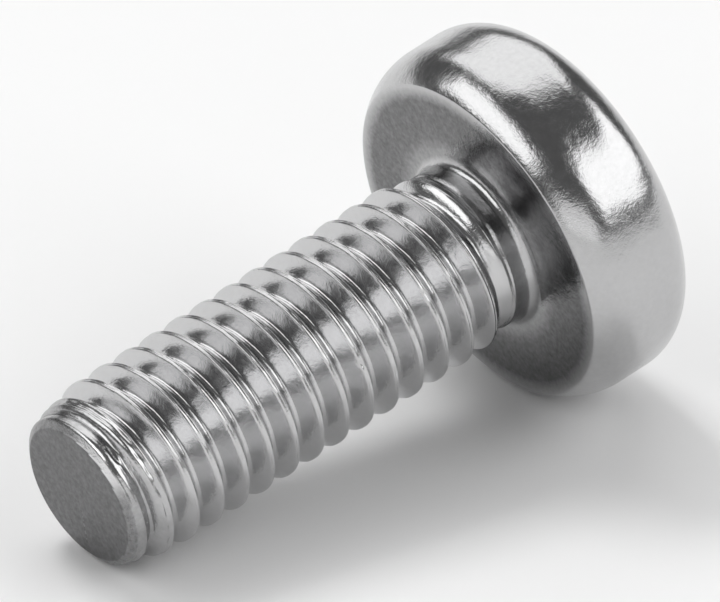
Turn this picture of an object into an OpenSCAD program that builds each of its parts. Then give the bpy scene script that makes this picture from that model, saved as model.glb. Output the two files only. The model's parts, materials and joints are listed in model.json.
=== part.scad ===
// Pan-head machine screw, M6 x 16, with a cross recess.
// One cold-formed and rolled piece of plated steel, lying on its side as it comes to rest.
// The origin is the centre of the flat face under the head, where the screw's length is measured.

/* [Head] */
// Diameter across the widest line of the head
head_d = 12; // [11.2:0.1:13]
// Height of the head, from its flat underside to the top of the dome
head_h = 4.6; // [4.5:0.1:5]
// Radius of the barrel curve between the underside and the widest line
barrel_r = 2.2; // [1.8:0.1:2.6]
// Height of the widest line above the underside
barrel_h = 1.5; // [1.2:0.1:1.7]
// Radius of the shoulder between the side and the dome
shoulder_r = 1.5; // [1.2:0.1:1.7]
// Radius of the shallow dome on top
dome_r = 20; // [16:1:30]

/* [Neck] */
// Diameter of the plain neck, which is the bar before the thread is rolled
neck_d = 5.36; // [5.2:0.02:5.5]
// Length of the plain neck under the head
neck_length = 0.7; // [0.5:0.1:2]
// Radius of the fillet between the neck and the underside
neck_fillet = 0.32; // [0.28:0.02:0.5]

/* [Thread] */
// Length from the underside of the head to the tip
shank_length = 16; // [10:1:30]
// Diameter over the crests
thread_d = 5.9; // [5.8:0.05:6.1]
// Distance from one turn to the next
thread_pitch = 1; // [0.85:0.05:1.1]
// Length over which the thread dies out at the neck
runout_length = 1.2; // [0.8:0.1:1.6]
// Length over which the crests rise to their full height from the tip
start_length = 1.8; // [1:0.1:3]
// Turn of the thread where it leaves the tip, in degrees round from the underside
thread_start = 190; // [0:10:350]

/* [Tip] */
// Diameter of the flat end
tip_d = 4.6; // [4.2:0.1:4.8]
// Slope of the chamfer round the end, in degrees from the flat
chamfer_angle = 35; // [30:5:60]
// Diameter of the plain land behind the chamfer
land_d = 5.1; // [4.9:0.1:5.3]
// Length of that land, and of the groove behind it that deepens to the root of the thread
land_length = 0.45; // [0.3:0.05:0.8]

/* [Cross recess] */
// Span across the wings at the top
recess_span = 6.9; // [6:0.1:7.5]
// Span across the wings at the floor
floor_span = 3.8; // [3.4:0.1:4.4]
// Depth of the wings, from the top of the dome to the edge of the floor
recess_depth = 3.1; // [2.6:0.1:3.2]
// Depth of the shallow cone in the floor
floor_cone = 0.45; // [0.3:0.05:0.6]
// Width of a wing at the top
wing_w = 2; // [1.6:0.1:2.3]
// Draft of a wing's side walls, in degrees
wing_draft = 4; // [2:1:7]
// Width across the flats that cut the corners between the wings, at the top
hub_w = 3.5; // [3.1:0.1:3.9]

/* [Hidden] */
$fn = 48;

// Standard sixty-degree thread: the full V, cut back by an eighth at the crest and rounded at the root
v_height = thread_pitch * cos(30);
root_r = v_height / 6;
root_centre = v_height * 13 / 24;
crest_flat = thread_pitch / 8;
thread_depth = root_centre + root_r;
major_r = thread_d / 2;

// One pitch of the thread as [place along the axis, depth below the crest]
root_angles = [-60, -20, 20, 60];
thread_profile = concat(
    [[-crest_flat / 2, 0], [crest_flat / 2, 0]],
    [for (a = root_angles) [thread_pitch / 2 + root_r * sin(a), root_centre + root_r * cos(a)]]
);

// Steps round one turn, and the turns of thread with spare ones past the tip
turn_steps = 36;
spare_turns = 2;
profile_count = len(thread_profile);
turn_count = ceil((shank_length - neck_length) / thread_pitch) + spare_turns;

// The thread sinks this far below the neck where it ends
thread_sink = 0.06;
thread_end_r = neck_d / 2 - thread_sink;

// How far the cutting shapes reach past the surface that they cut
margin = 0.5;

// Centres of the head's curves, in the plane of the axis: [distance from the axis, height]
head_r = head_d / 2;
barrel_centre = [head_r - barrel_r, barrel_h];
dome_centre = [0, head_h - dome_r];
shoulder_x = head_r - shoulder_r;
shoulder_centre = [
    shoulder_x,
    dome_centre.y + sqrt(pow(dome_r - shoulder_r, 2) - pow(shoulder_x, 2))
];
dome_edge_angle = atan2(shoulder_centre.y - dome_centre.y, shoulder_x);

function clamp(x) = min(1, max(0, x));

// Radius of the thread's surface at a depth below the crest and a height on the axis
function surface_r(depth, height) =
    let (
        from_tip = height + shank_length,
        land_r = land_d / 2,
        minor_r = major_r - thread_depth,
        core = minor_r + (land_r - minor_r) * clamp(2 - from_tip / land_length),
        crest = land_r + (major_r - land_r) * clamp(from_tip / start_length),
        formed = clamp((-neck_length - height) / runout_length)
    )
    thread_end_r + (max(core, min(crest, major_r - depth)) - thread_end_r) * formed;

// Slope of the axis when the barrel curve of the head and one point of the shank's underside touch the ground
function tilt_on(r, height) =
    let (run = barrel_h - height, rise = head_r - barrel_r - r)
    atan2(rise, run) + asin(barrel_r / norm([run, rise]));

// The screw lies on its head and on the lowest of the crests at the tip, so its axis rises towards the head
first_crest = (360 - thread_start) / 360 * thread_pitch - shank_length;
rest_tilt = min([
    for (turn = [0:3])
        let (height = first_crest + turn * thread_pitch)
        tilt_on(surface_r(0, height), height)
]);

// Point on the rolled surface: a step round the turn, and a place along all the profiles in a row
function thread_point(step, place) =
    let (
        profile = thread_profile[place % profile_count],
        turns = floor(place / profile_count) - spare_turns + step / turn_steps,
        height = -shank_length + turns * thread_pitch + profile[0],
        angle = thread_start + 360 * step / turn_steps,
        r = surface_r(profile[1], height)
    )
    [r * cos(angle), r * sin(angle), height];

// Right-hand thread on a solid core, longer than the shank at the tip, where the end is cut from it
module rolled_bar() {
    rows = turn_count * profile_count;
    last = turn_steps - 1;
    columns = [for (step = [0:last], place = [0:rows]) thread_point(step, place)];
    low = [0, 0, -shank_length - (spare_turns - 0.5) * thread_pitch];
    high = [0, 0, (turn_count - spare_turns + 0.5) * thread_pitch - shank_length];
    low_i = len(columns);
    high_i = low_i + 1;
    function at(step, place) = step * (rows + 1) + place;
    // Past the last step, the surface goes on one turn up the first column
    function beside(step, place) = step < last ? at(step + 1, place) : at(0, place + profile_count);
    sides = [
        for (step = [0:last], place = [0:rows - 1 - (step < last ? 0 : profile_count)])
            each [
                [at(step, place), at(step, place + 1), beside(step, place)],
                [beside(step, place), at(step, place + 1), beside(step, place + 1)]
            ]
    ];
    low_rim = concat(
        [for (step = [0:last]) at(step, 0)],
        [for (place = [profile_count:-1:1]) at(0, place)]
    );
    high_rim = concat(
        [for (step = [0:last]) at(step, rows)],
        [for (place = [1:profile_count]) at(last, rows - place)]
    );
    caps = concat(
        [for (i = [0:len(low_rim) - 1]) [low_i, low_rim[i], low_rim[(i + 1) % len(low_rim)]]],
        [for (i = [0:len(high_rim) - 1]) [high_i, high_rim[(i + 1) % len(high_rim)], high_rim[i]]]
    );
    polyhedron(points = concat(columns, [low, high]), faces = concat(sides, caps), convexity = 10);
}

// Everything inside the chamfered end
module end_envelope() {
    outer_r = major_r + margin;
    outer_h = (outer_r - tip_d / 2) * tan(chamfer_angle);
    rotate_extrude()
        polygon([
            [0, -shank_length],
            [tip_d / 2, -shank_length],
            [outer_r, outer_h - shank_length],
            [outer_r, margin],
            [0, margin]
        ]);
}

module shank() {
    intersection() {
        rolled_bar();
        end_envelope();
    }
}

// Slice of a disc between two angles
module sector(centre, r, from, to) {
    reach = 2 * r;
    intersection() {
        translate(centre) circle(r);
        polygon([
            centre,
            centre + reach * [cos(from), sin(from)],
            centre + reach * [cos(to), sin(to)]
        ]);
    }
}

module head_outline() {
    // Barrel curve, from the underside to the widest line
    intersection() {
        translate(barrel_centre) circle(barrel_r);
        square([head_r, barrel_h]);
    }
    square([barrel_centre.x, barrel_h]);
    // Side, shoulder and dome
    translate([0, barrel_h]) square([head_r, shoulder_centre.y - barrel_h]);
    sector(shoulder_centre, shoulder_r, 0, dome_edge_angle);
    intersection() {
        translate(dome_centre) circle(dome_r, $fn = 240);
        polygon([
            [0, shoulder_centre.y],
            shoulder_centre,
            shoulder_centre + 2 * shoulder_r * [cos(dome_edge_angle), sin(dome_edge_angle)],
            [0, head_h + shoulder_r]
        ]);
    }
}

module neck_outline() {
    neck_r = neck_d / 2;
    translate([0, -neck_length]) square([neck_r, neck_length]);
    translate([neck_r, -neck_fillet])
        difference() {
            square(neck_fillet);
            translate([neck_fillet, 0]) circle(neck_fillet, $fn = 24);
        }
}

module head() {
    rotate_extrude() {
        head_outline();
        neck_outline();
    }
}

// Bar whose side walls close in by the draft, centred on the axis, with its wide side at the head's top
module drafted_bar(width, length) {
    depth = recess_depth + floor_cone;
    taper = tan(wing_draft);
    rotate([90, 0, 0])
        linear_extrude(length, center = true)
            polygon([
                [-width / 2 + depth * taper, head_h - depth],
                [width / 2 - depth * taper, head_h - depth],
                [width / 2 + margin * taper, head_h + margin],
                [-width / 2 - margin * taper, head_h + margin]
            ]);
}

// Socket for a cross-tip driver: four wings and a squared-off hub, inside a cone that closes towards the floor
module cross_recess() {
    slope = (recess_span - floor_span) / 2 / recess_depth;
    intersection() {
        union() {
            for (turn = [0, 90]) rotate(turn) drafted_bar(wing_w, recess_span + 2 * margin);
            rotate(45) intersection_for(turn = [0, 90]) rotate(turn) drafted_bar(hub_w, hub_w + margin);
        }
        rotate_extrude()
            polygon([
                [0, head_h - recess_depth - floor_cone],
                [floor_span / 2, head_h - recess_depth],
                [recess_span / 2 + margin * slope, head_h + margin],
                [0, head_h + margin]
            ]);
    }
}

module screw() {
    color("silver")
        rotate([0, 90 - rest_tilt, 0])
            union() {
                shank();
                difference() {
                    head();
                    cross_recess();
                }
            }
}

screw();
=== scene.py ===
# %% [markdown]
# # A plated machine screw, lying on its side
# The screw is one piece of steel: its head is pressed cold from wire, its thread is rolled between two
# dies, and the whole is plated with bright zinc. This lesson builds it as one closed surface, worked out
# with numpy, around the plain solid that the frame carries. First the frame is loaded and measured.

# %% The frame
import json
import math

import bmesh
import bpy
import numpy as np
from mathutils import Matrix, Vector

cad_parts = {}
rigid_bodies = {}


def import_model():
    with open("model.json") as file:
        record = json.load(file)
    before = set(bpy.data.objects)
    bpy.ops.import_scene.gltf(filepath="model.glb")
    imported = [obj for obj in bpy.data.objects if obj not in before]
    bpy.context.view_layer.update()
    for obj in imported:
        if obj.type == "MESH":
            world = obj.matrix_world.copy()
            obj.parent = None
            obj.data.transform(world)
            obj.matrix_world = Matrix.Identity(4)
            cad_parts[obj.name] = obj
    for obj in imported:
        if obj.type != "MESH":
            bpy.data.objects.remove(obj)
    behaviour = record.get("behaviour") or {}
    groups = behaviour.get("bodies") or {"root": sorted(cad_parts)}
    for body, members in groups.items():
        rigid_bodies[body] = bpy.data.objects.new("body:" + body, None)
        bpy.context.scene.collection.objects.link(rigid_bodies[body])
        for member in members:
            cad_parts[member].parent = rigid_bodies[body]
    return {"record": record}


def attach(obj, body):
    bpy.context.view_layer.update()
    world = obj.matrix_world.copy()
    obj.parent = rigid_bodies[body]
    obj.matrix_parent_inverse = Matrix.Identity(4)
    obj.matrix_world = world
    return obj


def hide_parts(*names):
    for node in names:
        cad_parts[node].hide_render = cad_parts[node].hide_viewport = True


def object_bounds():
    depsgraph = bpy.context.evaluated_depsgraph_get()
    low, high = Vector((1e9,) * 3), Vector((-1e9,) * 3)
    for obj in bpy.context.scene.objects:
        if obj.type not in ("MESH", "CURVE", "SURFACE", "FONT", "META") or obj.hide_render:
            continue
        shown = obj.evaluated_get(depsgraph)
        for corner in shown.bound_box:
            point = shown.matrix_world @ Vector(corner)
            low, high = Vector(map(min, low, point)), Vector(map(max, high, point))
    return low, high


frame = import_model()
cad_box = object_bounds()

MM = 0.001
for thing in list(bpy.data.objects):
    if thing.name in ("Cube", "Light", "Camera"):
        bpy.data.objects.remove(thing)
print("solid:", [round((b - a) / MM, 2) for a, b in zip(*cad_box)], "mm")

# %% [markdown]
# ## Where the screw lies
# The screw rests on the rim of its head and on the first crests of its tip, so its axis isn't level. The
# record gives the way that the face under the head looks. The other way is the screw's own axis, and two
# more directions square to it make the screw's own frame: x down, y across, z along the axis.

# %% The screw's own frame
under_head = next(m for m in frame["record"]["mounts"] if m["name"] == "under_head_face")
to_head = -np.array(under_head["axis"], dtype=float)
to_head /= np.linalg.norm(to_head)
across = np.array([0.0, 1.0, 0.0])
downward = np.cross(across, to_head)
own_axes = np.array([downward, across, to_head])


def placed(r, angle, height):
    """Points in metres: r cos(angle) down, r sin(angle) across and height along the axis, all in mm."""
    own = np.stack(np.broadcast_arrays(r * np.cos(angle), r * np.sin(angle), height), axis=-1)
    return own @ own_axes * MM


print("axis rises", round(math.degrees(math.asin(to_head[2])), 2), "degrees")

# %% [markdown]
# ## Sizes
# The drawn sizes of the solid come again here, in millimetres, because the surface is the same screw with
# finer edges. Heights are measured along the axis from the flat face under the head, so the tip is below
# zero.

# %% Sizes of the screw
HEAD_R, HEAD_H = 6.0, 4.6
BARREL_R, BARREL_H = 2.2, 1.5
SHOULDER_R, DOME_R = 1.5, 20.0
NECK_R, NECK_LENGTH, NECK_FILLET = 2.68, 0.7, 0.32
LENGTH, MAJOR_R, PITCH = 16.0, 2.95, 1.0
RUNOUT, CREST_START = 1.2, 1.8
START_ANGLE = math.radians(190)
TIP_R, LAND_R, LAND = 2.3, 2.55, 0.45
CHAMFER_H = (LAND_R - TIP_R) * math.tan(math.radians(35))
THREAD_END_R = 2.62       # where the thread dies out, just below the neck
MINOR_R = 2.34            # at the bottom of the root

# %% [markdown]
# ## Columns and rows
# The surface is a grid. Its columns are lines along the screw, and every column has its own angle. Rows
# that ran straight round would cut across the thread and leave stairs on its crest, so here each row
# follows the helix and comes back one pitch higher. The rows crowd together where the thread bends, at
# its crest and its root, and lie far apart on its flat flanks.

# %% Columns and rows
COLUMNS = 192
angles = np.arange(COLUMNS) * 2 * np.pi / COLUMNS
half_rows = [0.02, 0.045, 0.068, 0.09, 0.115, 0.17, 0.26, 0.35, 0.40, 0.45]   # pitches from a crest
pitch_rows = np.array([0.0] + half_rows + [0.5] + [1 - q for q in reversed(half_rows)])
ROWS = len(pitch_rows)
FACE_TURNS = 1.9          # turns of the rows on the tip's face and rim
RIM_AT = 0.35             # pitches from the tip to where the rows join the thread
FILLET_TURNS = 0.6        # turns of the rows up the fillet under the head
fillet_at = (LENGTH - NECK_FILLET) / PITCH
first_turn = RIM_AT - FACE_TURNS
last_turn = fillet_at + FILLET_TURNS + 0.1


def smooth_step(low, high, x):
    """0 below low, 1 above high, and 3t^2 - 2t^3 between them."""
    t = np.clip((x - low) / (high - low), 0, 1)
    return t * t * (3 - 2 * t)


def row_places():
    """Axial place of every grid point in pitches from the tip: row place plus the column's share of a turn.

    A row is spaced evenly within its pitch on the tip's face, and by pitch_rows along the thread.
    """
    count = int(math.ceil((last_turn - first_turn) * ROWS)) + 1
    index = np.arange(count)
    turn, step = index // ROWS, index % ROWS
    share = (angles - START_ANGLE) / (2 * np.pi)
    base = math.floor(first_turn) + 1.0 + turn
    even = (base + step / ROWS)[:, None] + share
    by_profile = (base + pitch_rows[step])[:, None] + share
    mix = smooth_step(-0.3, 0.3, even)
    return even + (by_profile - even) * mix


places = row_places()
print("helical rows:", places.shape[0], "places from", places.min().round(2), "to", places.max().round(2))

# %% [markdown]
# ## The rolled thread
# Rolling squeezes the steel up between the ridges of the dies. It rises along both flanks at once, so it
# meets in the middle of the crest and leaves a fine seam between two round lips. Where the crest is low,
# at the tip, the seam is wide open. The root is round, because the die's ridge is. A screw that has lain in
# a box with others also has a few small nicks, and this one has a burr behind its rim, where the end was
# cut. They are part of the same formula, as small bell-shaped rises and dents, so they need no mesh of
# their own.

# %% The thread's surface
FLANK = math.sqrt(3)      # depth per mm along the axis on a 60 degree thread
LIP = 0.07                # half the width of the crest, from the seam to where the flank begins
ROOT_R = 0.12
ROUND = 0.045             # how far the edge between lip and flank is rounded
SEAM = 0.022              # how deep the seam is
SEAM_OPENS = 0.22         # how much deeper it is for each mm that the crest is too low
CORE_ROUND = 0.05         # how far the root is rounded where it runs out into the core at the tip
WANDER = 0.005            # how far a crest strays along the axis
UNEVEN = 0.006            # how far a crest rises and falls


def soft_min(a, b, k):
    """The smaller of a and b, eased by k/4 where they meet: min(a, b) - (k - |a - b|)^2 / 4k."""
    near = np.clip(k - np.abs(a - b), 0, None)
    return np.minimum(a, b) - near * near / (4 * k)


def wave_noise(x, seed, count=9, low=0.6, high=9.0):
    """A smooth random line from -1 to 1: the mean of a few sines of x with random speed and phase."""
    rng = np.random.default_rng(seed)
    speed = np.exp(rng.uniform(math.log(low), math.log(high), count)) * 2 * np.pi
    phase = rng.uniform(0, 2 * np.pi, count)
    total = sum(np.sin(x * s + p) for s, p in zip(speed, phase))
    return total / math.sqrt(count / 2) / 2


MARKS = [  # degrees round, mm from the tip, half length round and half width along in mm, rise in mm
    (216, 0.53, 0.35, 0.05, -0.06),
    (220, 0.64, 0.25, 0.05, 0.05),
    (226, 0.50, 0.12, 0.04, 0.03),
    (253, 9.12, 0.10, 0.10, -0.07),
    (201, 4.10, 0.14, 0.08, -0.03),
    (238, 12.06, 0.16, 0.09, -0.03),
    (62, 6.60, 0.16, 0.10, -0.04),
]


def marks(from_tip, angle):
    """Small nicks and the burr at the tip: each a bell-shaped rise, exp(-(round/a)^2 - (along/b)^2)."""
    total = 0
    for degrees, at, half_length, half_width, rise in MARKS:
        turned = np.mod(angle - math.radians(degrees) + np.pi, 2 * np.pi) - np.pi
        way_round = turned * MAJOR_R / half_length
        way_along = (from_tip - at) / half_width
        total = total + rise * np.exp(-way_round**2 - way_along**2)
    return total


def thread_radius(place, angle):
    """Radius of the rolled surface at a place (pitches from the tip) and an angle.

    The phase in the pitch is the place less the angle's share of a turn. The distance from the nearest
    crest gives the flank's radius, MAJOR_R - (distance - LIP) FLANK, and the crest, the root and the
    core each limit it. The crest rises from LAND_R to MAJOR_R over CREST_START, and at the other end
    the whole ridge fades into the neck over RUNOUT: neck + (ridge - neck) formed.
    """
    phase = place - (angle - START_ANGLE) / (2 * np.pi)
    along = np.round(phase) + (angle - START_ANGLE) / (2 * np.pi)
    wander = WANDER * wave_noise(along, 3, low=3, high=30)
    signed = (phase - np.round(phase)) * PITCH - wander
    off = np.abs(signed)
    from_tip = place * PITCH
    crest = LAND_R + (MAJOR_R - LAND_R) * smooth_step(-0.15, 1.15, from_tip / CREST_START)
    crest = crest + UNEVEN * wave_noise(along, 5, low=2, high=20)
    crest = np.minimum(crest, MAJOR_R)
    half_width = LIP + (MAJOR_R - crest) / FLANK
    seam_depth = (SEAM + SEAM_OPENS * (MAJOR_R - crest)) * (1 + 0.5 * wave_noise(along, 7, low=4, high=40))
    lip = crest - seam_depth * (1 - smooth_step(0.05, 0.8, off / half_width))
    flank = MAJOR_R - (off - LIP) * FLANK
    bottom = MAJOR_R - (PITCH / 2 - LIP) * FLANK
    root_centre = bottom + 2 * ROOT_R
    from_root = PITCH / 2 - off
    in_root = from_root < ROOT_R * math.cos(math.pi / 6)
    root = root_centre - np.sqrt(np.clip(ROOT_R**2 - from_root**2, 0, None))
    ridge = np.where(in_root, root, soft_min(lip, flank, ROUND))
    core = MINOR_R + (LAND_R - MINOR_R) * (1 - smooth_step(0.8, 2.2, from_tip / LAND))
    ridge = -soft_min(-ridge, -core, CORE_ROUND)
    formed = np.clip((LENGTH - NECK_LENGTH - from_tip) / RUNOUT, 0, 1)
    neck = THREAD_END_R + (NECK_R - THREAD_END_R) * smooth_step(-0.15, 0.0, -formed)
    return neck + (ridge - neck) * formed + marks(from_tip, angle)


# %% [markdown]
# ## Tip, neck and fillet
# Past both ends of the thread, the same rows run on over a profile: over the rim to the flat end of the
# screw one way, and up the fillet to the flat face under the head the other way. A profile is a line of
# corners, each rounded by an arc.

# %% Rounded profiles
def rounded_profile(corners, radii, arc_steps=8):
    """Points along straight lines between corners, with an arc of the given radius at each inner corner.

    The arc touches both lines at r / tan(half the angle between them) from the corner.
    """
    corners = [np.array(c, dtype=float) for c in corners]
    points = [corners[0]]
    for before, corner, after, radius in zip(corners, corners[1:], corners[2:], radii):
        back = (before - corner) / np.linalg.norm(before - corner)
        on = (after - corner) / np.linalg.norm(after - corner)
        half = math.acos(np.clip(back @ on, -1, 1)) / 2
        reach = radius / math.tan(half)
        middle = (back + on) / np.linalg.norm(back + on)
        centre = corner + middle * radius / math.sin(half)
        start = corner + back * reach - centre
        stop = corner + on * reach - centre
        turn = math.atan2(start[0] * stop[1] - start[1] * stop[0], start @ stop)
        for t in np.linspace(0, 1, arc_steps + 1):
            c, s = math.cos(turn * t), math.sin(turn * t)
            points.append(centre + np.array([c * start[0] - s * start[1], s * start[0] + c * start[1]]))
    points.append(corners[-1])
    return np.array(points)


def along_profile(profile, distance):
    """The point at a distance along a profile, by straight lines between its points."""
    lengths = np.concatenate([[0], np.cumsum(np.linalg.norm(np.diff(profile, axis=0), axis=1))])
    return np.interp(distance, lengths, profile[:, 0]), np.interp(distance, lengths, profile[:, 1])


RIM_ROUNDS = [0.09, 0.1]  # radii of the two edges of the chamfer
rim_profile = rounded_profile(
    [(0, -LENGTH), (TIP_R, -LENGTH), (LAND_R, -LENGTH + CHAMFER_H), (LAND_R, -LENGTH + RIM_AT * PITCH)],
    RIM_ROUNDS,
)
rim_length = np.linalg.norm(np.diff(rim_profile, axis=0), axis=1).sum()
INNER_FACE = 0.3          # distance from the middle of the tip's face to its first row
OUTWARD = 0.35            # how far out on the flat face under the head the rows go, for each pitch


def shank_surface(place, angle):
    """(radius, height) in mm of the surface, from the tip's face over the rim, thread, neck and fillet.

    The rim is the point of its profile at a distance that grows with the place, slowest at the edge of
    the face, where the rows crowd. The thread is its own radius, and the fillet is a quarter circle:
    NECK_R + r (1 - cos turn) out and r (1 - sin turn) down.
    """
    face = np.interp(
        place,
        [first_turn - 1, first_turn, RIM_AT - 1.0, RIM_AT - 0.8, RIM_AT],
        [0, INNER_FACE, 1.75, 2.0, rim_length],
    )
    rim_r, rim_h = along_profile(rim_profile, face)
    body_h = place * PITCH - LENGTH
    height = np.where(place < RIM_AT, rim_h, body_h)
    thread = thread_radius((height + LENGTH) / PITCH, angle)
    raised = (thread - LAND_R) * smooth_step(0.12, RIM_AT, height + LENGTH)
    radius = np.where(place < RIM_AT, rim_r + raised, thread)
    turn = np.clip((place - fillet_at) / FILLET_TURNS, 0, 1) * np.pi / 2
    outward = np.clip(place - fillet_at - FILLET_TURNS, 0, None) * OUTWARD
    fillet_r = NECK_R + NECK_FILLET * (1 - np.cos(turn)) + outward
    fillet_h = -NECK_FILLET * (1 - np.sin(turn))
    past = place > fillet_at
    return np.where(past, fillet_r, radius), np.where(past, fillet_h, height)


shank_r, shank_h = shank_surface(places, angles)
shank_points = placed(shank_r, angles, shank_h)
print("shank grid:", shank_r.shape, "radius", shank_r.min().round(3), "to", shank_r.max().round(3))

# %% [markdown]
# ## The head
# The head is turned round the axis, so each of its rings is a circle, until the rings reach the cross
# recess. There they pass from a circle on the dome to the outline of the cross, point by point, and then
# go down the walls with the draft that lets the punch out.

# %% Rings of the head
shoulder_x = HEAD_R - SHOULDER_R
shoulder_h = HEAD_H - DOME_R + math.sqrt((DOME_R - SHOULDER_R) ** 2 - shoulder_x**2)
dome_edge = math.atan2(shoulder_h - (HEAD_H - DOME_R), shoulder_x)
face_r = HEAD_R - BARREL_R + math.sqrt(BARREL_R**2 - BARREL_H**2)


def arc(centre, radius, start, stop, count):
    """Points on an arc, as [distance from the axis, height]."""
    turn = np.linspace(start, stop, count)
    return np.stack([centre[0] + radius * np.cos(turn), centre[1] + radius * np.sin(turn)], axis=-1)


def dome_height(r):
    """Height of the dome at a distance from the axis: the dome's centre plus sqrt(DOME_R^2 - r^2)."""
    return HEAD_H - DOME_R + np.sqrt(DOME_R**2 - r * r)


EDGE_ROUND = 0.12         # radius of the edge of the flat face under the head
low_angle = -math.asin(BARREL_H / BARREL_R)
barrel = arc((HEAD_R - BARREL_R, BARREL_H), BARREL_R, low_angle, 0, 20)
edge = rounded_profile([(face_r - 0.6, 0), (face_r, 0), barrel[2]], [EDGE_ROUND], 6)[1:-1]
head_profile = np.concatenate([
    [[3.6, 0.0], [4.2, 0.0], [4.9, 0.0]],
    edge,
    barrel[2:-1],
    np.stack([np.full(4, HEAD_R), np.linspace(BARREL_H, shoulder_h, 4)], axis=-1)[:-1],
    arc((shoulder_x, shoulder_h), SHOULDER_R, 0, dome_edge, 24),
])
dome_rings = np.linspace(head_profile[-1][0] - 0.15, 4.0, 3)
head_profile = np.concatenate([head_profile, np.stack([dome_rings, dome_height(dome_rings)], axis=-1)])
print("turned rings:", len(head_profile))

# %% The cross recess
RECESS_SPAN, FLOOR_SPAN, RECESS_DEPTH, FLOOR_CONE = 6.9, 3.8, 3.1, 0.45
WING_W, HUB_W, WING_TAPER = 2.0, 3.5, math.tan(math.radians(4))
CONE_SLOPE = (RECESS_SPAN - FLOOR_SPAN) / 2 / RECESS_DEPTH
WALL_STEPS = [8, 12, 8, 12, 8]        # columns on half a wing's end, its side, the flat and back again
RIM_DROP = 0.3                        # how much lower the dome is at the recess than on the axis
RIM_ROUND = 0.11                      # radius of the edge of the recess


def cross_outline(height, grow=0.0):
    """The outline of the recess at a height, as [x, y] for each column, or grown outwards by grow.

    In a quarter it is half a wing's end on the cone, the wing's side, the flat that cuts the corner, and
    the same back again. The sides close in by the draft, and the wing's end by the cone's slope. Last,
    each corner is eased by its neighbours: (before + 2 point + after) / 4.
    """
    height = np.broadcast_to(height, (COLUMNS,))
    half_wing = WING_W / 2 + (height - HEAD_H) * WING_TAPER + grow
    half_hub = HUB_W / 2 + (height - HEAD_H) * WING_TAPER + grow
    reach = FLOOR_SPAN / 2 + (height - HEAD_H + RECESS_DEPTH) * CONE_SLOPE + grow
    step = np.arange(COLUMNS) % (COLUMNS // 4)
    starts = np.concatenate([[0], np.cumsum(WALL_STEPS)])
    end = np.arcsin(half_wing / reach)
    corner_x = half_hub * math.sqrt(2) - half_wing
    tip_x = reach * np.cos(end)
    part = np.clip(np.searchsorted(starts, step, side="right") - 1, 0, 4)
    t = (step - starts[part]) / np.array(WALL_STEPS)[part]
    first = np.stack([reach * np.cos(end * t), reach * np.sin(end * t)], -1)
    side = np.stack([tip_x + (corner_x - tip_x) * t, half_wing], -1)
    flat = np.stack([corner_x + (half_wing - corner_x) * t, half_wing + (corner_x - half_wing) * t], -1)
    back = np.stack([half_wing, corner_x + (tip_x - corner_x) * t], -1)
    rest = np.pi / 2 - end * (1 - t)
    last = np.stack([reach * np.cos(rest), reach * np.sin(rest)], -1)
    quarter = np.select([part[:, None] == k for k in range(5)], [first, side, flat, back, last])
    turn = (np.arange(COLUMNS) // (COLUMNS // 4)) * np.pi / 2
    x = quarter[:, 0] * np.cos(turn) - quarter[:, 1] * np.sin(turn)
    y = quarter[:, 0] * np.sin(turn) + quarter[:, 1] * np.cos(turn)
    outline = np.stack([x, y], -1)
    return (np.roll(outline, 1, 0) + 2 * outline + np.roll(outline, -1, 0)) / 4


def recess_rings():
    """Rings from the dome over the rim, down the walls and over the floor, each [x, y, height]."""
    circle_r = head_profile[-1][0]
    circle = circle_r * np.stack([np.cos(angles), np.sin(angles)], -1)
    rim = cross_outline(HEAD_H - RIM_DROP, RIM_ROUND)
    rings = []
    for t in (0.25, 0.5, 0.72, 0.88, 1.0):
        xy = circle + (rim - circle) * t
        rings.append(np.column_stack([xy, dome_height(np.linalg.norm(xy, axis=1))]))
    top = dome_height(np.linalg.norm(rim, axis=1))
    for grow, drop in ((0.055, 0.012), (0.02, 0.045), (0.0, RIM_ROUND)):
        xy = cross_outline(top - drop, grow)
        rings.append(np.column_stack([xy, top - drop]))
    floor_h = HEAD_H - RECESS_DEPTH
    for t in (0.12, 0.3, 0.5, 0.7, 0.88, 0.96):
        height = (top - RIM_ROUND) + (floor_h + 0.02 - top + RIM_ROUND) * t
        rings.append(np.column_stack([cross_outline(height), height]))
    floor = cross_outline(floor_h)
    for share in (0.99, 0.93, 0.75, 0.5, 0.25, 0.08):
        xy = floor * share
        cone = floor_h - FLOOR_CONE * (1 - np.linalg.norm(xy, axis=1) / (FLOOR_SPAN / 2))
        rings.append(np.column_stack([xy, cone]))
    return np.array(rings)


recess = recess_rings()
recess_points = (recess @ own_axes) * MM
head_points = placed(head_profile[:, :1], angles, head_profile[:, 1:])
print("recess rings:", len(recess))

# %% [markdown]
# ## One closed surface
# The helical rows, the round rings and the recess are joined into one mesh. At the tip and under the
# head, the rows end in a step of one pitch, and a fan of triangles in the flat face takes it up, where
# it can't be seen. Every edge then has two faces, so the screw is watertight.

# %% Joining the grids
def grid_faces(rows, columns, first, wrap):
    """Quads of a grid, whose last column joins the first one wrap rows further on."""
    row, column = np.meshgrid(np.arange(rows - 1), np.arange(columns), indexing="ij")
    beside = np.where(column == columns - 1, (row + wrap) * columns, row * columns + column + 1)
    keep = np.where(column == columns - 1, row + wrap + 1 < rows, True)
    here = row * columns + column
    quads = np.stack([here, beside, beside + columns, here + columns], -1)[keep]
    return quads + first


def shank_rims(rows, columns, wrap):
    """The rim of the helical grid at the tip and at the head, each as a closed line of point numbers."""
    low = list(range(columns)) + [r * columns for r in range(wrap, 0, -1)]
    top = (rows - 1) * columns
    high = [top + c for c in range(columns)]
    high += [r * columns + columns - 1 for r in range(rows - 2, rows - 2 - wrap, -1)]
    return low, high


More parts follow.
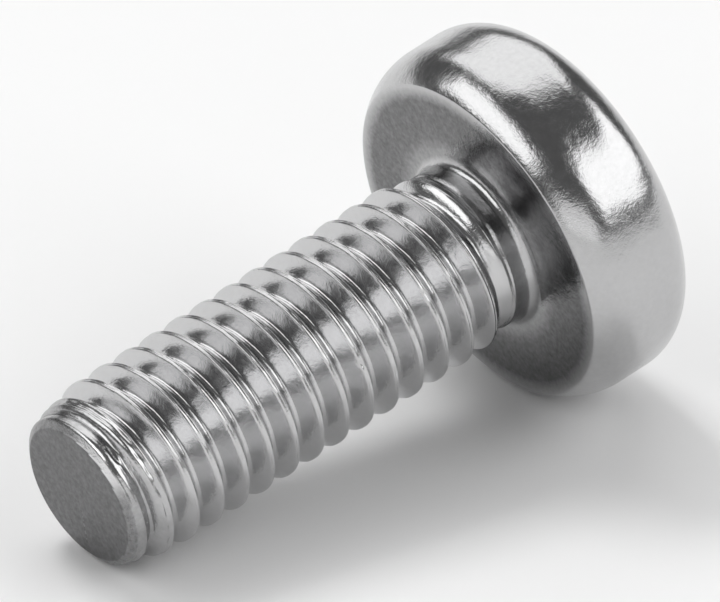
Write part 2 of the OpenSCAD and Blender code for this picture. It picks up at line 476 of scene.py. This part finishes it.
# %% All the points
shank_rows = places.shape[0]
shank_count = shank_rows * COLUMNS
rings = np.concatenate([head_points, recess_points])
tip_centre = placed(np.array(0.0), np.array(0.0), np.array(-LENGTH))
floor_centre = placed(np.array(0.0), np.array(0.0), np.array(HEAD_H - RECESS_DEPTH - FLOOR_CONE))
points = np.concatenate([
    shank_points.reshape(-1, 3), rings.reshape(-1, 3), tip_centre[None], floor_centre[None]
])
tip_at = len(points) - 2
floor_at = len(points) - 1
print("points:", len(points))

# %% All the faces
faces = grid_faces(shank_rows, COLUMNS, 0, ROWS).tolist()
faces += grid_faces(len(rings), COLUMNS, shank_count, 0).tolist()
low_rim, high_rim = shank_rims(shank_rows, COLUMNS, ROWS)
faces += [(tip_at, b, a) for a, b in zip(low_rim, low_rim[1:] + low_rim[:1])]
head_ring = [shank_count + c for c in range(COLUMNS)]
faces += [(high_rim[c], high_rim[c + 1], head_ring[c + 1], head_ring[c]) for c in range(COLUMNS - 1)]
step_points = high_rim[COLUMNS - 1:] + high_rim[:1]
faces += [(a, b, head_ring[0]) for a, b in zip(step_points, step_points[1:])]
faces.append((high_rim[COLUMNS - 1], head_ring[0], head_ring[COLUMNS - 1]))
last_ring = shank_count + (len(rings) - 1) * COLUMNS
faces += [(last_ring + c, last_ring + (c + 1) % COLUMNS, floor_at) for c in range(COLUMNS)]
print("faces:", len(faces))

# %% The mesh
screw_mesh = bpy.data.meshes.new("machine_screw")
screw_mesh.from_pydata(points.tolist(), [], faces)
screw_mesh.validate()
screw_mesh.polygons.foreach_set("use_smooth", np.ones(len(screw_mesh.polygons), dtype=bool))
screw = bpy.data.objects.new("machine_screw", screw_mesh)
bpy.context.collection.objects.link(screw)
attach(screw, "root")
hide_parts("screw")
print("triangles:", sum(len(p.vertices) - 2 for p in screw_mesh.polygons))

# %% Is it closed?
closed = bmesh.new()
closed.from_mesh(screw_mesh)
open_edges = sum(not edge.is_contiguous for edge in closed.edges)
print("open edges:", open_edges, "volume:", round(closed.calc_volume(signed=True) / MM**3, 1), "mm3")
closed.free()

# %% [markdown]
# ## Where each finish is
# The finish isn't the same all over. The end of the screw was cut, so it is rough, and it is dark: partly a
# duller finish, partly painted shade. So are its rim and the first turn of thread, apart from one side of
# the rim, which has a painted highlight. The face under the head is as dark, partly painted shade, but
# smooth, because it was pressed flat: the end of the thread is mirrored in it, most of all near the neck,
# where it has less painted shade. The rollers left a burnish and fine lines along the thread. A material
# can't know where the flat faces are or which way a helix runs, so the mesh carries that for it, as
# attributes that have a value at each point.

# %% A value for each point
def keep_value(name, values):
    """Keep one number for each point of the screw, under a name that the material can read."""
    attribute = screw_mesh.attributes.new(name, "FLOAT", "POINT")
    attribute.data.foreach_set("value", values.astype(np.float32))
    print(name, "mean", values.mean().round(3))


own_h = points @ to_head / MM
own_xy = np.stack([points @ downward, points @ across], -1) / MM
own_r = np.linalg.norm(own_xy, axis=1)
own_angle = np.mod(np.arctan2(own_xy[:, 1], own_xy[:, 0]), 2 * np.pi)
print("points on the shank:", (own_h < 0).sum(), "of", len(own_h))

# %% Where the dull places, the painted shade and the painted highlight are
HIGHLIGHT_SIDE, HIGHLIGHT_HALF = 214, 27    # degrees round: the middle of the rim's painted highlight, half its width
RIM_DULL_AND_SHADE, START_DULL_AND_SHADE = 0.75, 0.45     # how dull and dark, partly painted shade, the rim and the first turn are, beside 1 for the cut end
RIM_HIGHLIGHT_LIFT, NECK_LESS_SHADE = 0.85, 0.5         # how much lighter the rim's painted highlight is, and the face at the neck, with less painted shade
NECK_LESS_SHADE_WIDTH = 0.75                 # mm from the fillet to where the face has its full painted shade again
NEAR_FACE = 0.25                      # mm from the face under the head within which a point belongs to it
PRESSED_SMOOTH = 0.3                  # how much smoother than plain plating the face is: the cut end is -1
from_end = own_h + LENGTH
# A painted highlight: one side of the rim is made lighter and less dull than the rest
off_side = (own_angle - math.radians(HIGHLIGHT_SIDE)) / math.radians(HIGHLIGHT_HALF)
rim_highlight = np.exp(-off_side**4)
rim = smooth_step(0.3, 0.15, from_end)
chamfer = (RIM_DULL_AND_SHADE - RIM_HIGHLIGHT_LIFT * rim_highlight) * rim
start = START_DULL_AND_SHADE * smooth_step(1.7, 0.6, from_end) * (1 - rim_highlight)
cut = np.where(from_end < 0.01, 1.0, np.maximum(chamfer, start))
fillet_end = NECK_R + NECK_FILLET
pressed = smooth_step(NECK_R + 0.05, fillet_end, own_r) * (own_r < face_r - EDGE_ROUND / 2)
pressed = np.where(np.abs(own_h) < NEAR_FACE, pressed, 0.0)
# Less painted shade near the neck, so the thread's mirror image shows brighter there
by_neck = 1 - smooth_step(fillet_end, fillet_end + NECK_LESS_SHADE_WIDTH, own_r)
# Dark and dull: partly the finish of cut and pressed steel, partly painted shade, with less near the neck
keep_value("dull_and_shade", cut + pressed * (1 - NECK_LESS_SHADE * by_neck))
keep_value("roughened", cut - PRESSED_SMOOTH * pressed)

# %% Where the thread is, and which way it runs
RIM_HIGHLIGHT_GAIN = 3        # how bright the rim's painted highlight is, beside 1 for the thread's burnish
thread = smooth_step(-NECK_LENGTH, -NECK_LENGTH - 0.5, own_h) * smooth_step(-LENGTH, -LENGTH + 0.4, own_h)
depth = np.clip((MAJOR_R - own_r) / (MAJOR_R - MINOR_R + 0.15), 0, 1) * thread
# The burnish of the thread, plus the painted highlight on one side of the rim
keep_value("burnish_and_highlight", thread + RIM_HIGHLIGHT_GAIN * rim_highlight * rim * (from_end > 0.01))
keep_value("thread_depth", depth)
turn = (own_angle - START_ANGLE) / (2 * np.pi)
phase = (own_h + LENGTH) / PITCH - turn
rolled = np.stack([
    PITCH / (2 * np.pi) * np.cos(2 * np.pi * phase),
    PITCH / (2 * np.pi) * np.sin(2 * np.pi * phase),
    (np.round(phase) + turn) * 2 * np.pi * MAJOR_R,
], -1)
rolled_line = screw_mesh.attributes.new("rolled_line", "FLOAT_VECTOR", "POINT")
rolled_line.data.foreach_set("vector", rolled.astype(np.float32).ravel())
print("longest way along the helix:", rolled[:, 2].max().round(), "mm")

# %% [markdown]
# ## The finish
# Bright zinc is a metal with a slightly milky gloss, and it lies on steel that was pressed and tumbled. So
# its reflections have soft, ragged edges, a grain shows in the dark ones, and the bright ones wave a
# little. A Principled shader with metallic at 1 gives the gloss. Noises of different sizes move its bump
# and its roughness. Its colour they hardly touch on the plated faces, as metal's own colour is plain.

# %% Helpers for the nodes
plated = bpy.data.materials.new("plated_steel")
plated.use_nodes = True
nodes, links = plated.node_tree.nodes, plated.node_tree.links
shader = nodes["Principled BSDF"]
shader.inputs["Metallic"].default_value = 1.0


def add(kind, **settings):
    """A node of the plated steel, with its inputs or its own settings given by name."""
    node = nodes.new(kind)
    for name, value in settings.items():
        if name in node.inputs:
            node.inputs[name].default_value = value
        else:
            setattr(node, name, value)
    return node


def ranged(value, low, high, to_low, to_high):
    """value, moved from the range low..high to to_low..to_high and kept inside it."""
    node = add("ShaderNodeMapRange")
    for name, number in (("From Min", low), ("From Max", high), ("To Min", to_low), ("To Max", to_high)):
        node.inputs[name].default_value = number
    links.new(value, node.inputs["Value"])
    return node.outputs[0]


def sum_of(*terms):
    """The sum of terms, each a value and the number that it is multiplied by."""
    total = None
    for value, factor in terms:
        node = add("ShaderNodeMath", operation="MULTIPLY_ADD")
        links.new(value, node.inputs[0])
        node.inputs[1].default_value = factor
        node.inputs[2].default_value = 0.0
        if total is not None:
            links.new(total, node.inputs[2])
        total = node.outputs[0]
    return total


def product(a, b):
    """One value times another."""
    node = add("ShaderNodeMath", operation="MULTIPLY")
    links.new(a, node.inputs[0])
    links.new(b, node.inputs[1])
    return node.outputs[0]


# %% [markdown]
# ## Noise in millimetres
# Object coordinates are in metres, so a Mapping node makes them millimetres first, and a noise's scale is
# then its number of waves in a millimetre. The grain is about 0.05 mm, the mottling 0.2 mm, and the waves
# in the surface nearly 1 mm. The rollers' lines are a noise too, stretched along the helix by reading the
# attribute that follows it.

# %% The noises
where = add("ShaderNodeTexCoord")
in_mm = add("ShaderNodeMapping", Scale=(1000, 1000, 1000))
links.new(where.outputs["Object"], in_mm.inputs["Vector"])


def noise(scale, detail, roughness, vector=in_mm.outputs[0]):
    """Noise of scale waves in a millimetre."""
    node = add("ShaderNodeTexNoise", Scale=scale, Detail=detail, Roughness=roughness)
    links.new(vector, node.inputs["Vector"])
    return node.outputs["Fac"]


waves = noise(1.1, 1, 0.4)
mottling = noise(5.5, 3, 0.65)
grain = noise(20.0, 2, 0.6)
rolled_at = add("ShaderNodeAttribute", attribute_name="rolled_line")
stretch = add("ShaderNodeMapping", Scale=(1, 1, 0.05))
links.new(rolled_at.outputs["Vector"], stretch.inputs["Vector"])
roller_lines = noise(12.0, 2, 0.6, stretch.outputs[0])

# %% [markdown]
# ## Colour, gloss and relief
# Zinc's own colour is a neutral grey, a little brighter where the rollers left a burnish on the thread. One
# side of the rim is brighter still: a painted highlight. The two flat faces are much darker, and spotted:
# partly a duller finish, partly painted shade. The root of the thread is darker too: painted shade. The
# roughness follows the same spots. The relief is what makes the reflections look like metal's: it bends
# them by a few degrees, so that a window's edge in the head is ragged.

# %% Colour
dull_and_shade_at = add("ShaderNodeAttribute", attribute_name="dull_and_shade").outputs["Fac"]
depth_at = add("ShaderNodeAttribute", attribute_name="thread_depth").outputs["Fac"]
burnish_and_highlight_at = add("ShaderNodeAttribute", attribute_name="burnish_and_highlight").outputs["Fac"]
# In a Mix node of colours, inputs 6 and 7 are the two colours and output 2 is the mixed one
zinc = add("ShaderNodeMix", data_type="RGBA")
zinc.inputs[6].default_value = (0.52, 0.52, 0.524, 1)
# The dark colour: a duller finish, and painted shade, on the flat faces and at the tip
zinc.inputs[7].default_value = (0.17, 0.17, 0.172, 1)
links.new(dull_and_shade_at, zinc.inputs[0])
# The burnish term lifts the thread, and one side of the rim as a painted highlight
DULL_SPOTS, BRIGHT_SPOTS, BURNISH_AND_HIGHLIGHT = 0.24, 0.04, 0.15
spots = ranged(mottling, 0.3, 0.7, -1.0, 1.0)
# Painted shade: darker where the thread's root is deepest
root_shade = ranged(depth_at, 0.8, 1.0, 1.0, 0.6)
dull_spots = product(spots, dull_and_shade_at)
tone = sum_of((dull_spots, DULL_SPOTS), (spots, BRIGHT_SPOTS), (burnish_and_highlight_at, BURNISH_AND_HIGHLIGHT), (root_shade, 1.0))
shade = add("ShaderNodeMix", data_type="RGBA", blend_type="MULTIPLY")
shade.inputs[0].default_value = 1.0
links.new(zinc.outputs[2], shade.inputs[6])
links.new(tone, shade.inputs[7])
links.new(shade.outputs[2], shader.inputs["Base Color"])

# %% Gloss and relief
WAVE_HEIGHT, SPOT_HEIGHT, GRAIN_HEIGHT, LINE_HEIGHT = 0.03, 0.009, 0.0036, 0.002    # mm
CUT_ROUGHNESS = 0.16      # roughness that the cut end has more than plain plating
milky = ranged(mottling, 0.3, 0.7, 0.13, 0.19)
fine = ranged(grain, 0.3, 0.7, -0.02, 0.03)
rough_at = add("ShaderNodeAttribute", attribute_name="roughened").outputs["Fac"]
links.new(sum_of((milky, 1.0), (fine, 1.0), (rough_at, CUT_ROUGHNESS)), shader.inputs["Roughness"])

rolled_relief = product(roller_lines, depth_at)
relief = sum_of(
    (waves, WAVE_HEIGHT), (mottling, SPOT_HEIGHT), (grain, GRAIN_HEIGHT), (rolled_relief, LINE_HEIGHT)
)
bump = add("ShaderNodeBump", Strength=1.0, Distance=MM)
links.new(relief, bump.inputs["Height"])
links.new(bump.outputs[0], shader.inputs["Normal"])
screw_mesh.materials.append(plated)
print("nodes in the finish:", len(nodes))

# %% [markdown]
# ## The camera
# The camera looks at the screw from its tip, from 31 degrees above the floor. It stands 0.8 m away, far
# for a thing of 22 mm, so the picture has hardly any perspective, as a close-up with a long lens has.
# Its place was found by fitting the outline of the solid to the photograph.

# %% The camera
VIEW_ANGLE, VIEW_ELEVATION, VIEW_ROLL = (math.radians(a) for a in (-39.581, 31.010, 0.3195))
SCALE = 32.651             # pixels in a millimetre, in a picture 720 pixels wide
AIM = (-3.597, -1.859)     # mm right of and above the origin
DISTANCE = 0.8
to_viewer = Vector((
    math.sin(VIEW_ANGLE) * math.cos(VIEW_ELEVATION),
    -math.cos(VIEW_ANGLE) * math.cos(VIEW_ELEVATION),
    math.sin(VIEW_ELEVATION),
))
right = Vector((math.cos(VIEW_ANGLE), math.sin(VIEW_ANGLE), 0))
up = to_viewer.cross(right)
cam_right = right * math.cos(VIEW_ROLL) + up * math.sin(VIEW_ROLL)
cam_up = up * math.cos(VIEW_ROLL) - right * math.sin(VIEW_ROLL)
camera_data = bpy.data.cameras.new("camera")
camera_data.sensor_width = 36
camera_data.lens = 36 * DISTANCE / (720 / SCALE * MM)
camera_data.clip_start, camera_data.clip_end = 0.01, 20
camera = bpy.data.objects.new("camera", camera_data)
camera.location = (cam_right * AIM[0] + cam_up * AIM[1]) * MM + to_viewer * DISTANCE
camera.rotation_euler = Matrix((cam_right, cam_up, to_viewer)).transposed().to_euler()
bpy.context.collection.objects.link(camera)
bpy.context.scene.camera = camera
print("lens", round(camera_data.lens), "mm")

# %% [markdown]
# ## The floor
# The screw lies on white paper, large enough to fill the picture. The paper keeps the screw's shadow, and it
# is also most of what the lower half of the metal reflects.

# %% The floor
FLOOR_HALF = 3.0
ground = cad_box[0][2]
floor_mesh = bpy.data.meshes.new("floor")
corners = [(x * FLOOR_HALF, y * FLOOR_HALF, ground) for x, y in ((-1, -1), (1, -1), (1, 1), (-1, 1))]
floor_mesh.from_pydata(corners, [], [(0, 1, 2, 3)])
floor = bpy.data.objects.new("floor", floor_mesh)
bpy.context.collection.objects.link(floor)
paper = bpy.data.materials.new("paper")
paper.use_nodes = True
paper_shader = paper.node_tree.nodes["Principled BSDF"]
paper_shader.inputs["Base Color"].default_value = (0.94, 0.94, 0.94, 1)
paper_shader.inputs["Roughness"].default_value = 0.9
floor_mesh.materials.append(paper)

# %% [markdown]
# ## The light
# Polished metal has no look of its own: it shows the room. In the photograph the head mirrors three large
# windows with dark frames between them, so the light here is three soft boxes, placed where the windows
# stand in those reflections, in a dim room that is pale only near the horizon. A low card in front lights
# the end of the screw. Windows as wide as these leave hardly any shadow, so a small lamp above and behind
# makes one. It would put a hard spark on every crest, which the photograph doesn't show, so the metal's
# reflections leave it out.

# %% The room
world = bpy.data.worlds.new("studio")
bpy.context.scene.world = world
world.use_nodes = True
sky, sky_links = world.node_tree.nodes, world.node_tree.links
way = sky.new("ShaderNodeTexCoord")
parts = sky.new("ShaderNodeSeparateXYZ")
fade = sky.new("ShaderNodeMapRange")
fade.interpolation_type = "SMOOTHSTEP"
# From and To: the height of a direction, 0 at the horizon and 1 overhead, and how bright the room is there
for name, value in (("From Min", 0.03), ("From Max", 0.17), ("To Min", 0.85), ("To Max", 0.12)):
    fade.inputs[name].default_value = value
sky_links.new(way.outputs["Generated"], parts.inputs[0])
sky_links.new(parts.outputs["Z"], fade.inputs["Value"])
sky_links.new(fade.outputs[0], sky["Background"].inputs["Color"])

# %% The soft boxes
SOFTBOXES = {  # degrees to the right of the camera, degrees up, width and height per metre away, radiance
    "left_window": (-72, 44, 1.5, 0.5, 1.7),
    "right_window": (84, 36, 1.3, 0.68, 1.75),
    "back_window": (-172, 50, 0.85, 0.95, 1.35),
    "front_card": (8, 13, 0.8, 0.34, 0.9),
    "shadow_key": (-141, 55, 0.3, 0.3, 11.0),
}
LAMP_DISTANCE = 0.8
toward_camera = Vector((to_viewer.x, to_viewer.y, 0)).normalized()
for name, (azimuth, height, wide, tall, radiance) in SOFTBOXES.items():
    az, el = math.radians(azimuth), math.radians(height)
    level = toward_camera * math.cos(az) + right * math.sin(az)
    direction = level * math.cos(el) + Vector((0, 0, math.sin(el)))
    lamp_data = bpy.data.lights.new(name, "AREA")
    lamp_data.shape = "RECTANGLE"
    lamp_data.size, lamp_data.size_y = wide * LAMP_DISTANCE, tall * LAMP_DISTANCE
    lamp_data.energy = radiance * math.pi * lamp_data.size * lamp_data.size_y
    lamp = bpy.data.objects.new(name, lamp_data)
    lamp.location = direction * LAMP_DISTANCE
    across_lamp = Vector((0, 0, 1)).cross(direction).normalized()
    up_lamp = direction.cross(across_lamp)
    lamp.rotation_euler = Matrix((across_lamp, up_lamp, direction)).transposed().to_euler()
    lamp.visible_glossy = name != "shadow_key"
    bpy.context.collection.objects.link(lamp)
    share = radiance * wide * tall * math.sin(el) / math.pi
    print(name, "share of the light on the floor:", round(share, 2))

bpy.context.scene.view_settings.view_transform = "Standard"
